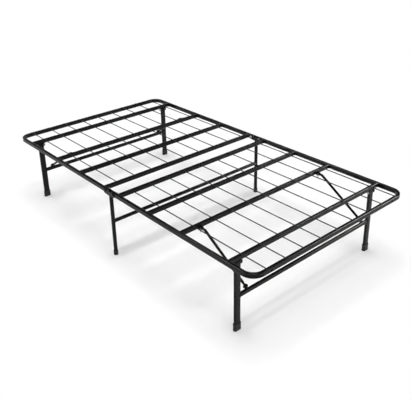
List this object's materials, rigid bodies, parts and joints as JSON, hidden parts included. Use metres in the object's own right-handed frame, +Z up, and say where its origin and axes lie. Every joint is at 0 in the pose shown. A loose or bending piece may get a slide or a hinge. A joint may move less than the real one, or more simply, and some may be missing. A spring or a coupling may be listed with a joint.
{
  "type": "folding metal bed frame",
  "caption": "Folding steel platform bed frame: two wire-topped half decks hinged over middle legs, with braced end legs that fold under each half.",
  "frame": {"origin": "on the floor at the middle of the bed", "axes": "+X to the foot end, +Y to the right side seen from the foot end, +Z up"},
  "size_m": [1.905, 1.009, 0.36],
  "materials": {
    "black_coat": "semi-gloss black powder coat",
    "black_plastic": "moulded black plastic",
    "zinc_plate": "zinc plated"
  },
  "bodies": {
    "mid_frame": {"mid_leg_left": "black_coat", "mid_leg_right": "black_coat", "mid_crossbar": "black_coat", "mid_cap_left": "black_plastic", "mid_cap_right": "black_plastic", "hinge_saddle_left": "black_coat", "hinge_saddle_right": "black_coat", "hinge_bolts": "black_coat", "hinge_nuts": "zinc_plate"},
    "head_half": {"head_rim": "black_coat", "head_leg_bar": "black_coat", "head_brace_bar": "black_coat", "head_middle_bar": "black_coat", "head_hinge_bar": "black_coat", "head_wires": "black_coat", "head_rail_sleeves": "zinc_plate", "head_leg_bolts": "zinc_plate", "head_leg_nuts": "zinc_plate", "head_brace_lugs": "black_coat", "head_brace_pins": "black_coat", "head_brace_clips": "zinc_plate", "head_leg_clevis_left": "black_coat", "head_leg_clevis_right": "black_coat"},
    "head_legs": {"head_leg_left": "black_coat", "head_leg_right": "black_coat", "head_leg_crossbar": "black_coat", "head_leg_cap_left": "black_plastic", "head_leg_cap_right": "black_plastic", "head_brace_ears_left": "black_coat", "head_brace_ears_right": "black_coat"},
    "head_brace_left": {"head_brace_left": "black_coat", "head_brace_bolt_left": "black_coat"},
    "head_brace_right": {"head_brace_right": "black_coat", "head_brace_bolt_right": "black_coat"},
    "foot_half": {"foot_rim": "black_coat", "foot_leg_bar": "black_coat", "foot_brace_bar": "black_coat", "foot_middle_bar": "black_coat", "foot_hinge_bar": "black_coat", "foot_wires": "black_coat", "foot_rail_sleeves": "zinc_plate", "foot_leg_bolts": "zinc_plate", "foot_leg_nuts": "zinc_plate", "foot_brace_lugs": "black_coat", "foot_brace_pins": "black_coat", "foot_brace_clips": "zinc_plate", "foot_leg_clevis_left": "black_coat", "foot_leg_clevis_right": "black_coat"},
    "foot_legs": {"foot_leg_left": "black_coat", "foot_leg_right": "black_coat", "foot_leg_crossbar": "black_coat", "foot_leg_cap_left": "black_plastic", "foot_leg_cap_right": "black_plastic", "foot_brace_ears_left": "black_coat", "foot_brace_ears_right": "black_coat"},
    "foot_brace_left": {"foot_brace_left": "black_coat", "foot_brace_bolt_left": "black_coat"},
    "foot_brace_right": {"foot_brace_right": "black_coat", "foot_brace_bolt_right": "black_coat"}
  },
  "joints": [
    {"name": "head_fold", "type": "hinge", "parent": "mid_frame", "child": "head_half", "pos_m": [-0.032, 0, 0.344], "axis": [0, 1, 0], "range_deg": [0, 90]},
    {"name": "head_legs_fold", "type": "hinge", "parent": "head_half", "child": "head_legs", "pos_m": [-0.807, 0, 0.3235], "axis": [0, -1, 0], "range_deg": [0, 84]},
    {"name": "head_brace_left_swing", "type": "hinge", "parent": "head_half", "child": "head_brace_left", "pos_m": [-0.536, -0.386, 0.34], "axis": [0, 1, 0], "range_deg": [0, 27.3]},
    {"name": "head_brace_right_swing", "type": "hinge", "parent": "head_half", "child": "head_brace_right", "pos_m": [-0.536, 0.386, 0.34], "axis": [0, 1, 0], "range_deg": [0, 27.3]},
    {"name": "foot_fold", "type": "hinge", "parent": "mid_frame", "child": "foot_half", "pos_m": [0.032, 0, 0.344], "axis": [0, -1, 0], "range_deg": [0, 90]},
    {"name": "foot_legs_fold", "type": "hinge", "parent": "foot_half", "child": "foot_legs", "pos_m": [0.807, 0, 0.3235], "axis": [0, 1, 0], "range_deg": [0, 84]},
    {"name": "foot_brace_left_swing", "type": "hinge", "parent": "foot_half", "child": "foot_brace_left", "pos_m": [0.536, -0.386, 0.34], "axis": [0, -1, 0], "range_deg": [0, 27.3]},
    {"name": "foot_brace_right_swing", "type": "hinge", "parent": "foot_half", "child": "foot_brace_right", "pos_m": [0.536, 0.386, 0.34], "axis": [0, -1, 0], "range_deg": [0, 27.3]}
  ],
  "couplings": [
    {"joint": "head_brace_left_swing", "follows": "head_legs_fold", "ratio": 0.32381},
    {"joint": "head_brace_right_swing", "follows": "head_legs_fold", "ratio": 0.32381},
    {"joint": "foot_brace_left_swing", "follows": "foot_legs_fold", "ratio": 0.32381},
    {"joint": "foot_brace_right_swing", "follows": "foot_legs_fold", "ratio": 0.32381}
  ]
}
